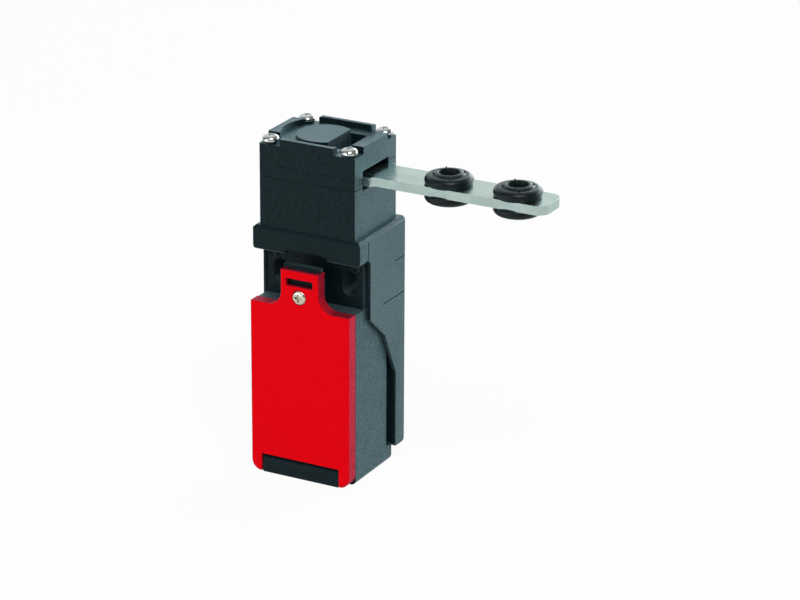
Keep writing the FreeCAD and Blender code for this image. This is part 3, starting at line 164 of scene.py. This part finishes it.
def soften(node, name, radius, body, material, reshape=None):
    """The solid with its sharp edges rounded, as moulded or stamped edges are, by a radius in millimetres."""
    piece = copy_of(node, name)
    if reshape is not None:
        reshape(piece)
    smooth(piece, 30)
    modify(piece, "BEVEL", width=radius * MM, segments=3, limit_method="ANGLE",
           angle_limit=math.radians(32), use_clamp_overlap=True, harden_normals=True)
    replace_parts(piece, node)
    return finish_piece(piece, body, material)


def remove(thing):
    """Deletes a helper object."""
    bpy.data.objects.remove(thing, do_unlink=True)


def join(name, parts):
    """Joins modelled parts into one piece."""
    make_active(parts[0])
    for part in parts:
        part.select_set(True)
    bpy.ops.object.join()
    piece = bpy.context.object
    piece.name = name
    return piece


def another(piece, shift):
    """A copy of a modelled part with its own mesh, moved by shift."""
    make_active(piece)
    bpy.ops.object.duplicate()
    copied = bpy.context.object
    bpy.ops.transform.translate(value=shift)
    return copied


def pick(piece, kind, wanted):
    """Selects the faces, edges or points of a piece in edit mode whose middle passes the test."""
    bpy.ops.mesh.select_mode(type=kind)
    bpy.ops.mesh.select_all(action="DESELECT")
    bpy.ops.object.mode_set(mode="OBJECT")
    mesh = piece.data
    if kind == "VERT":
        for vertex in mesh.vertices:
            vertex.select = wanted(vertex, vertex.co)
    else:
        for part in mesh.polygons if kind == "FACE" else mesh.edges:
            corners = [mesh.vertices[index].co for index in part.vertices]
            part.select = wanted(part, sum(corners, Vector()) / len(corners))
    bpy.ops.object.mode_set(mode="EDIT")


def start_outline(name, place):
    """A new mesh of one selected point, open in edit mode, from which an outline is extruded."""
    deselect_all()
    bpy.ops.mesh.primitive_plane_add(size=0.1 * MM, location=place)
    piece = bpy.context.object
    piece.name = name
    bpy.ops.object.mode_set(mode="EDIT")
    bpy.ops.mesh.select_mode(type="VERT")
    bpy.ops.mesh.select_all(action="SELECT")
    bpy.ops.mesh.merge(type="CENTER")
    return piece


def turned(name, place, axis, outline, steps=72):
    """A turned part. Its half outline, (radius, height) in millimetres along the axis, is drawn
    point by point, and spun round the axis."""
    axis = Vector(axis)
    side = Vector((1, 0, 0)) if abs(axis.x) < 0.5 else Vector((0, 1, 0))
    points = [place + (side * radius + axis * height) * MM for radius, height in outline]
    piece = start_outline(name, points[0])
    for start, end in zip(points, points[1:]):
        bpy.ops.mesh.extrude_region_move(TRANSFORM_OT_translate={"value": end - start})
    bpy.ops.mesh.select_all(action="SELECT")
    bpy.ops.mesh.spin(steps=steps, angle=math.tau, center=place, axis=axis)
    bpy.ops.mesh.select_all(action="SELECT")
    bpy.ops.mesh.remove_doubles(threshold=0.002 * MM)
    bpy.ops.mesh.normals_make_consistent(inside=False)
    done_editing()
    return piece


def arc(middle, radius, start, end, steps):
    """Points of an arc for a turned outline, angles in degrees."""
    turns = [math.radians(start + (end - start) * step / steps) for step in range(steps + 1)]
    return [(middle[0] + radius * math.cos(turn), middle[1] + radius * math.sin(turn)) for turn in turns]


def cut_cross(screw, place, axis, reach, width, depth):
    """Cuts a cross recess with tapered ends into the top of a screw head."""
    taper = 0.6
    for long_side in (0, 1):
        deselect_all()
        bpy.ops.mesh.primitive_cube_add(size=1.0, location=place)
        cutter = bpy.context.object
        along, across = (reach, width) if long_side else (width, reach)
        cutter.scale = (along * MM, across * MM, depth * MM) if abs(axis[2]) > 0.5 else (
            along * MM, depth * MM, across * MM)
        settle(cutter)
        edit(cutter)
        pick(cutter, "FACE", lambda face, middle: face.normal.dot(Vector(axis)) < -0.5)
        bpy.ops.transform.resize(value=(taper, taper, taper))
        done_editing()
        modify(screw, "BOOLEAN", object=cutter, operation="DIFFERENCE", solver="EXACT")
        remove(cutter)


def groove(piece, near, far):
    """Cuts a narrow groove between two corners out of a piece."""
    deselect_all()
    bpy.ops.mesh.primitive_cube_add(size=1.0, location=(near + far) / 2)
    cutter = bpy.context.object
    cutter.scale = far - near
    settle(cutter)
    modify(piece, "BOOLEAN", object=cutter, operation="DIFFERENCE", solver="EXACT")
    remove(cutter)


# ---------------------------------------------------------------- materials

def new_material(name):
    """A material, its node tree and its surface shader."""
    material = bpy.data.materials.new(name)
    material.use_nodes = True
    tree = material.node_tree
    return material, tree, tree.nodes["Principled BSDF"]


def texture_space(tree, stretch=(1.0, 1.0, 1.0), output="Object"):
    """Coordinates for a texture, stretched along the axes if the finish has a direction."""
    coordinates = tree.nodes.new("ShaderNodeTexCoord")
    mapping = tree.nodes.new("ShaderNodeMapping")
    mapping.inputs["Scale"].default_value = stretch
    tree.links.new(coordinates.outputs[output], mapping.inputs["Vector"])
    return mapping.outputs["Vector"]


def noise(tree, space, scale, detail, rough):
    """A noise texture's grey value."""
    texture = tree.nodes.new("ShaderNodeTexNoise")
    texture.inputs["Scale"].default_value = scale
    texture.inputs["Detail"].default_value = detail
    texture.inputs["Roughness"].default_value = rough
    tree.links.new(space, texture.inputs["Vector"])
    return texture.outputs["Fac"]


def spread(tree, value, low, high, start=0.3, end=0.7):
    """Maps a texture's middle range onto low to high."""
    ranger = tree.nodes.new("ShaderNodeMapRange")
    for socket, number in (("From Min", start), ("From Max", end), ("To Min", low), ("To Max", high)):
        ranger.inputs[socket].default_value = number
    tree.links.new(value, ranger.inputs["Value"])
    return ranger.outputs["Result"]


def colour_between(tree, value, dark, light):
    """A colour that goes from dark to light with a value."""
    ramp = tree.nodes.new("ShaderNodeValToRGB")
    ramp.color_ramp.elements[0].color = (*dark, 1)
    ramp.color_ramp.elements[1].color = (*light, 1)
    tree.links.new(value, ramp.inputs["Fac"])
    return ramp.outputs["Color"]


def blend_colours(tree, share, first, second):
    """The first colour, or the second by the given share."""
    mix = tree.nodes.new("ShaderNodeMix")
    mix.data_type = "RGBA"
    tree.links.new(share, mix.inputs["Factor"])
    tree.links.new(first, mix.inputs["A"])
    tree.links.new(second, mix.inputs["B"])
    return mix.outputs["Result"]


def bump(tree, shader, height, strength, distance, under=None):
    """Relief in the surface, distance in millimetres, on top of a coarser relief if one is given."""
    node = tree.nodes.new("ShaderNodeBump")
    node.inputs["Strength"].default_value = strength
    node.inputs["Distance"].default_value = distance * MM
    tree.links.new(height, node.inputs["Height"])
    if under is not None:
        tree.links.new(under, node.inputs["Normal"])
    tree.links.new(node.outputs["Normal"], shader.inputs["Normal"])
    return node.outputs["Normal"]


def moulded_plastic(name, dark, light, rough, grain=0.35, gloss=0.5, painted_sheen=None):
    """Moulded plastic or rubber with a fine eroded grain and faint flow marks. At shallow view angles it
    gets a painted sheen: the grain turns towards a given tint and turns metallic, reflecting what is behind
    it in that tint."""
    material, tree, shader = new_material(name)
    space = texture_space(tree)
    grain_size = 0.4 * MM
    fine = noise(tree, space, 1.0 / grain_size, 3.0, 0.6)
    broad = noise(tree, space, 90.0, 3.0, 0.55)
    speckle = spread(tree, fine, 0.0, 1.0, 0.35, 0.65)
    colour = colour_between(tree, speckle, dark, light)
    # Painted sheen: at shallow view angles the base colour is lightened towards the sheen tint and the
    # surface turns metallic, so faces seen edge-on look lit.
    if painted_sheen is not None:
        facing = tree.nodes.new("ShaderNodeLayerWeight")
        facing.inputs["Blend"].default_value = 0.5
        shallow = spread(tree, facing.outputs["Facing"], 0.0, 1.0, 0.22, 0.66)
        pits, peaks = (tuple(share * part for part in painted_sheen) for share in (0.6, 1.4))
        painted_sheen_colour = colour_between(tree, speckle, pits, peaks)
        colour = blend_colours(tree, shallow, colour, painted_sheen_colour)
        tree.links.new(shallow, shader.inputs["Metallic"])
    tree.links.new(colour, shader.inputs["Base Color"])
    tree.links.new(spread(tree, broad, rough - 0.05, rough + 0.07), shader.inputs["Roughness"])
    shader.inputs["Specular IOR Level"].default_value = gloss
    lumps = bump(tree, shader, broad, 0.15, 0.05)
    bump(tree, shader, fine, grain, 0.04, lumps)
    return material


def bright_metal(name, dark, light, rough, stretch=(1.0, 1.0, 1.0)):
    """Bright metal, cloudy, with fine lines. The stretch draws the lines out along a rolled strip."""
    material, tree, shader = new_material(name)
    lines = noise(tree, texture_space(tree, stretch), 900.0, 4.0, 0.6)
    clouds = noise(tree, texture_space(tree), 160.0, 4.0, 0.6)
    shader.inputs["Metallic"].default_value = 1.0
    colour = colour_between(tree, spread(tree, clouds, 0.0, 1.0), dark, light)
    tree.links.new(colour, shader.inputs["Base Color"])
    tree.links.new(spread(tree, lines, rough - 0.06, rough + 0.10), shader.inputs["Roughness"])
    soft = bump(tree, shader, clouds, 0.12, 0.03)
    bump(tree, shader, lines, 0.10, 0.004, soft)
    return material


# Where a plastic is given a last colour, that is the tint of its painted sheen at shallow view angles.
body_black = moulded_plastic("body_black", (0.001, 0.007, 0.009), (0.006, 0.018, 0.022), 0.5,
                             gloss=0.1, painted_sheen=(0.11, 0.19, 0.215))
cover_red = moulded_plastic("cover_red", (0.69, 0.0004, 0.004), (0.73, 0.0008, 0.006), 0.55,
                            grain=0.1, gloss=0.02, painted_sheen=(0.50, 0.03, 0.07))
grommet_rubber = moulded_plastic("grommet_rubber", (0.002, 0.005, 0.006), (0.005, 0.010, 0.011), 0.34,
                                 grain=0.12, gloss=0.2, painted_sheen=(0.035, 0.062, 0.066))
seal_rubber = moulded_plastic("seal_rubber", (0.03, 0.03, 0.03), (0.05, 0.05, 0.05), 0.6, grain=0.1)
cam_acetal = moulded_plastic("cam_acetal", (0.66, 0.64, 0.57), (0.74, 0.72, 0.66), 0.35, grain=0.05)
block_grey = moulded_plastic("block_grey", (0.24, 0.25, 0.26), (0.30, 0.31, 0.32), 0.5, grain=0.2)
tongue_steel = bright_metal("tongue_steel", (0.36, 0.47, 0.44), (0.46, 0.58, 0.55), 0.22, (0.06, 1.0, 1.0))
screw_zinc = bright_metal("screw_zinc", (0.44, 0.48, 0.46), (0.62, 0.66, 0.64), 0.2)
cover_screw_zinc = bright_metal("cover_screw_zinc", (0.55, 0.52, 0.42), (0.72, 0.69, 0.58), 0.22)
spring_wire = bright_metal("spring_wire", (0.40, 0.40, 0.40), (0.55, 0.55, 0.54), 0.3)
contact_brass = bright_metal("contact_brass", (0.62, 0.42, 0.15), (0.78, 0.56, 0.24), 0.3)

FINISHES = {"body_plastic": body_black, "cover_red": cover_red, "tongue_steel": tongue_steel,
            "screw_steel": screw_zinc, "spring_steel": spring_wire, "contact_brass": contact_brass,
            "grommet_rubber": grommet_rubber, "seal_rubber": seal_rubber, "cam_plastic": cam_acetal,
            "block_plastic": block_grey}

# ---------------------------------------------------------------- pieces

for subpart in frame["record"]["subparts"]:
    mesh = nodes[subpart["node"]].data
    mesh.materials.clear()
    mesh.materials.append(FINISHES[subpart["material_slot"]])


def parting_step(piece, node):
    """Cuts a narrow step round the top of a part of the head, where the next part lies on it."""
    low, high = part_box(node)
    beyond, depth, drop = 1.0 * MM, 0.22 * MM, 0.2 * MM
    for left, right, near, far in ((low.x - beyond, low.x + depth, low.y - beyond, high.y + beyond),
                                   (high.x - depth, high.x + beyond, low.y - beyond, high.y + beyond),
                                   (low.x - beyond, high.x + beyond, low.y - beyond, low.y + depth),
                                   (low.x - beyond, high.x + beyond, high.y - depth, high.y + beyond)):
        groove(piece, Vector((left, near, high.z - drop)), Vector((right, far, high.z + beyond)))


for node, name in (("head_base", "head_lower_part"), ("tongue_guide", "head_middle_part")):
    parting_step(soften(node, name, 0.2, "switch_body", body_black), node)
soften("head_cover", "head_upper_part", 0.24, "switch_body", body_black)
soften("terminal_cover", "wiring_cover", 0.15, "cover", cover_red)
soften("tongue", "steel_tongue", 0.28, "tongue", tongue_steel)


def shell():
    """Outer shell, with two short mould seams at the back of each wing."""
    piece = soften("outer_shell", "shell", 0.25, "switch_body", body_black)
    seam_height, seam_end = 0.3, 28.5
    for left, right in ((-16.6, -16.0), (16.0, 16.6)):
        for seam_start, level in ((23.5, 58.2), (16.8, 48.0)):
            groove(piece, at(left, seam_start, level), at(right, seam_end, level + seam_height))


shell()


def widen_entry(housing):
    """Opens the bore of the cable entry to the root of its thread."""
    axis = at(0.0, ENTRY_DEPTH, 0.0)
    slack = 0.05
    reach, top = (ENTRY_RADIUS + slack) * MM, at(0.0, 0.0, ENTRY_FLOOR + slack).z
    share = ENTRY_ROOT_RADIUS / ENTRY_RADIUS
    edit(housing)
    pick(housing, "VERT", lambda vertex, place: (place - axis).xy.length < reach and place.z < top)
    bpy.ops.transform.resize(value=(share, share, 1), center_override=axis)
    done_editing()


soften("terminal_housing", "housing", 0.25, "switch_body", body_black, reshape=widen_entry)


def head_screws():
    """Four domed zinc-plated screws with cross recesses."""
    up = (0, 0, 1)
    front_left = at(-HEAD_SCREW_PITCH / 2, HEAD_AXIS_DEPTH - HEAD_SCREW_DEPTH_PITCH / 2, HEAD_SCREW_SEAT)
    head_height = 1.5
    shank = [(0.0, -28.7), (1.05, -28.7), (1.25, -28.4), (1.25, 0.0)]
    dome = [(2.3, 0.0), (2.3, 0.45), (2.22, 0.72), (2.05, 0.95), (1.75, 1.17), (1.35, 1.34), (0.9, 1.45),
            (0.0, head_height)]
    screw = turned("screw", front_left, up, shank + dome)
    cut_cross(screw, front_left + Vector((0, 0, head_height * MM)), up, 2.5, 0.55, 1.6)
    smooth(screw, 40)
    shifts = ((0, HEAD_SCREW_DEPTH_PITCH), (HEAD_SCREW_PITCH, 0), (HEAD_SCREW_PITCH, HEAD_SCREW_DEPTH_PITCH))
    screws = [screw] + [another(screw, Vector((*shift, 0)) * MM) for shift in shifts]
    return finish_piece(join("head_screws_plated", screws), "switch_body", screw_zinc)


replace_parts(head_screws(), "head_screws")


def cover_lock_screw():
    """Screw of the cover's tab."""
    ahead = (0, -1, 0)
    seat = at(0.0, 0.8, 52.6)
    head_height = 1.2
    shank = [(0.0, -4.6), (0.9, -4.6), (1.2, -4.2), (1.2, 0.0)]
    dome = [(2.0, 0.0), (2.0, 0.55), (1.92, 0.82), (1.72, 1.03), (1.35, 1.16), (0.8, head_height),
            (0.0, head_height)]
    screw = turned("cover_screw_plated", seat, ahead, shank + dome)
    cut_cross(screw, seat - Vector((0, head_height * MM, 0)), ahead, 2.7, 0.75, 1.6)
    smooth(screw, 40)
    return finish_piece(screw, "cover", cover_screw_zinc)


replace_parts(cover_lock_screw(), "cover_screw")


def plunger_spring():
    """The plunger's spring, its foot on the housing: a smoothed copy of the solid, fixed in place."""
    spring = copy_of("return_spring", "plunger_spring")
    smooth(spring, 50)
    settle(spring)
    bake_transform(spring)
    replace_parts(spring, "return_spring")


plunger_spring()


def grommets():
    """Two rubber grommets: rounded flanges, a stepped lip round the bore and four mould pips."""
    middle = at(GROMMET_PLACE, HEAD_AXIS_DEPTH, TONGUE_MIDDLE_HEIGHT)
    waist = [(4.0, 0.0), (4.0, 1.25), (5.9, 1.25)]
    flange = arc((5.0, 2.2), 1.5, -45, 86, 10)
    lip = [(4.6, 3.74), (4.42, 3.7), (4.28, 3.76), (4.16, 3.92), (3.95, 4.08), (3.4, 4.26), (3.1, 4.3),
           (2.9, 4.25), (2.8, 4.15), (2.8, 0.0)]
    upper = waist + flange + lip
    lower = [(radius, -height) for radius, height in reversed(upper[1:-1])] + [upper[0]]
    ring = turned("ring", middle, (0, 0, 1), upper + lower, 96)
    smooth(ring, 50)
    pips = []
    pip_radius, pip_height = 4.05, 4.05
    for turn in (35, 128, 215, 300):
        foot = Vector((math.cos(math.radians(turn)), math.sin(math.radians(turn)), 0)) * pip_radius * MM
        deselect_all()
        bpy.ops.mesh.primitive_cone_add(vertices=14, radius1=0.34 * MM, radius2=0.2 * MM, depth=0.5 * MM,
                                        location=middle + foot + Vector((0, 0, pip_height * MM)))
        pip = bpy.context.object
        settle(pip)
        edit(pip)
        pick(pip, "FACE", lambda face, middle: face.normal.z > 0.9)
        bpy.ops.mesh.inset(thickness=0.08 * MM, depth=0.07 * MM)
        done_editing()
        smooth(pip, 60)
        pips.append(pip)
    inner = join("inner_grommet_ring", [ring] + pips)
    outer = another(inner, (GROMMET_PITCH * MM, 0, 0))
    outer.name = "outer_grommet_ring"
    for piece, node in ((inner, "inner_grommet"), (outer, "outer_grommet")):
        finish_piece(piece, "tongue", grommet_rubber)
        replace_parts(piece, node)


grommets()


def plate_bosses():
    """Two half-hidden round bosses on the fixing plate, under the collar."""
    spacing = 25.3
    left_end = at(-spacing / 2, 8.6, 60.55)
    deselect_all()
    bpy.ops.mesh.primitive_cylinder_add(vertices=48, radius=1.15 * MM, depth=1.2 * MM, location=left_end,
                                        rotation=(math.radians(90), 0, 0))
    boss = bpy.context.object
    settle(boss)
    edit(boss)
    pick(boss, "FACE", lambda face, middle: face.normal.y < -0.9)
    bpy.ops.mesh.inset(thickness=0.3 * MM, depth=0)
    bpy.ops.mesh.inset(thickness=0.12 * MM, depth=-0.25 * MM)
    done_editing()
    modify(boss, "BEVEL", width=0.1 * MM, segments=2, limit_method="ANGLE", angle_limit=math.radians(40))
    smooth(boss, 40)
    pair = join("plate_bosses", [boss, another(boss, (spacing * MM, 0, 0))])
    return finish_piece(pair, "switch_body", body_black)


plate_bosses()


def entry_thread():
    """Thread of the cable entry, one ridge wound up its bore."""
    start = at(0.0, ENTRY_DEPTH, 0.9)
    sunk_in_wall, half_ridge = 0.05, 0.72
    ridge_start = Vector((ENTRY_ROOT_RADIUS + sunk_in_wall, 0, -half_ridge)) * MM
    thread = start_outline("entry_thread", start + ridge_start)
    for step in ((-0.36, 0, 0.6), (0, 0, 0.2), (0.36, 0, 0.6)):
        bpy.ops.mesh.extrude_region_move(TRANSFORM_OT_translate={"value": Vector(step) * MM})
    done_editing()
    bpy.context.scene.cursor.location = start
    bpy.ops.object.origin_set(type="ORIGIN_CURSOR")
    modify(thread, "SCREW", angle=math.tau, screw_offset=ENTRY_PITCH * MM, iterations=5, steps=72,
           render_steps=72, axis="Z", use_merge_vertices=True, merge_threshold=0.001 * MM)
    edit(thread)
    bpy.ops.mesh.select_all(action="SELECT")
    bpy.ops.mesh.normals_make_consistent(inside=True)
    done_editing()
    smooth(thread, 50)
    return finish_piece(thread, "switch_body", body_black)


entry_thread()

# ---------------------------------------------------------------- stage, light and camera

def product(tree, first, second):
    """Two shares multiplied; the second may be a plain number."""
    times = tree.nodes.new("ShaderNodeMath")
    times.operation = "MULTIPLY"
    tree.links.new(first, times.inputs[0])
    if isinstance(second, float):
        times.inputs[1].default_value = second
    else:
        tree.links.new(second, times.inputs[1])
    return times.outputs["Value"]


def along_axis(tree, space, axis, low, high):
    """A share that rises from 0 to 1 between two places along an axis, or falls where high is below low."""
    apart = tree.nodes.new("ShaderNodeSeparateXYZ")
    tree.links.new(space, apart.inputs["Vector"])
    if high > low:
        return spread(tree, apart.outputs[axis], 0.0, 1.0, low, high)
    return spread(tree, apart.outputs[axis], 1.0, 0.0, high, low)


def seen_white(tree, mirrored_share):
    """How white the surroundings look: fully to the camera, and by the given share in reflections."""
    rays = tree.nodes.new("ShaderNodeLightPath")
    either = tree.nodes.new("ShaderNodeMath")
    either.operation = "MAXIMUM"
    tree.links.new(rays.outputs["Is Camera Ray"], either.inputs[0])
    tree.links.new(product(tree, rays.outputs["Is Glossy Ray"], mirrored_share), either.inputs[1])
    return either.outputs["Value"]


def pale_surface(name, colour, white):
    """Plain pale surface that the camera sees mostly as white, with its shadows."""
    material, tree, shader = new_material(name)
    shader.inputs["Base Color"].default_value = (*colour, 1)
    shader.inputs["Roughness"].default_value = 0.9
    shader.inputs["Specular IOR Level"].default_value = 0.1
    glow = tree.nodes.new("ShaderNodeEmission")
    blend = tree.nodes.new("ShaderNodeMixShader")
    space = texture_space(tree)
    behind = product(tree, along_axis(tree, space, "Y", 0.0, 0.16), along_axis(tree, space, "Y", 0.5, 0.15))
    tree.links.new(product(tree, seen_white(tree, behind), white), blend.inputs["Fac"])
    tree.links.new(shader.outputs["BSDF"], blend.inputs[1])
    tree.links.new(glow.outputs["Emission"], blend.inputs[2])
    tree.links.new(blend.outputs["Shader"], tree.nodes["Material Output"].inputs["Surface"])
    return material


floor_height = cad_bounds[0][2]
deselect_all()
bpy.ops.mesh.primitive_plane_add(size=6.0, location=(0, 0, floor_height))
floor = bpy.context.object
floor.name = "floor"
floor.data.materials.append(pale_surface("pale_floor", (0.9, 0.9, 0.9), 0.93))

world = bpy.data.worlds.new("studio")
bpy.context.scene.world = world
world.use_nodes = True
sky = world.node_tree
dim = sky.nodes["Background"]
dim.inputs["Strength"].default_value = 0.22
bright = sky.nodes.new("ShaderNodeBackground")
bright.inputs["Strength"].default_value = 1.0
for surround in (dim, bright):
    surround.inputs["Color"].default_value = (1, 1, 1, 1)
choice = sky.nodes.new("ShaderNodeMixShader")
outlook = texture_space(sky, output="Generated")
upper_left = product(sky, along_axis(sky, outlook, "Y", -0.2, 0.4), along_axis(sky, outlook, "X", 0.3, -0.2))
sky.links.new(seen_white(sky, upper_left), choice.inputs["Fac"])
sky.links.new(dim.outputs["Background"], choice.inputs[1])
sky.links.new(bright.outputs["Background"], choice.inputs[2])
sky.links.new(choice.outputs["Shader"], sky.nodes["World Output"].inputs["Surface"])


def soft_lamp(name, place, aim, width, height, power):
    """A rectangular soft light that faces its aim."""
    bpy.ops.object.light_add(type="AREA", location=place)
    lamp = bpy.context.object
    lamp.name = name
    lamp.data.shape = "RECTANGLE"
    lamp.data.size = width
    lamp.data.size_y = height
    lamp.data.energy = power
    lamp.rotation_euler = (Vector(aim) - Vector(place)).to_track_quat("-Z", "Y").to_euler()
    return lamp


centre = (0.0, -0.01, 0.0)
soft_lamp("key_window", (0.7, -0.9, 1.6), centre, 0.9, 0.9, 26)
soft_lamp("rear_panel", (0.5, 1.7, 0.45), centre, 2.4, 0.9, 25)
soft_lamp("front_fill", (-0.8, -1.5, 0.7), centre, 1.0, 1.0, 4.5)
soft_lamp("edge_card", (-0.45, -0.75, -0.03), (0.04, -0.02, 0.03), 0.9, 0.05, 1.2)

bpy.ops.object.camera_add()
camera = bpy.context.object
camera.data.sensor_width = 36
camera.data.lens = 158.0
turn, tilt, roll, distance = math.radians(27.92), math.radians(21.12), math.radians(0.32), 0.94429
aim = Vector((0.01723, -0.00464, -0.00878))
back = Vector((math.sin(turn) * math.cos(tilt), -math.cos(turn) * math.cos(tilt), math.sin(tilt)))
camera.location = aim + back * distance
camera.rotation_euler = back.to_track_quat("Z", "Y").to_euler()
camera.rotation_euler.rotate_axis("Z", roll)
bpy.context.scene.camera = camera
bpy.context.scene.view_settings.view_transform = "Standard"
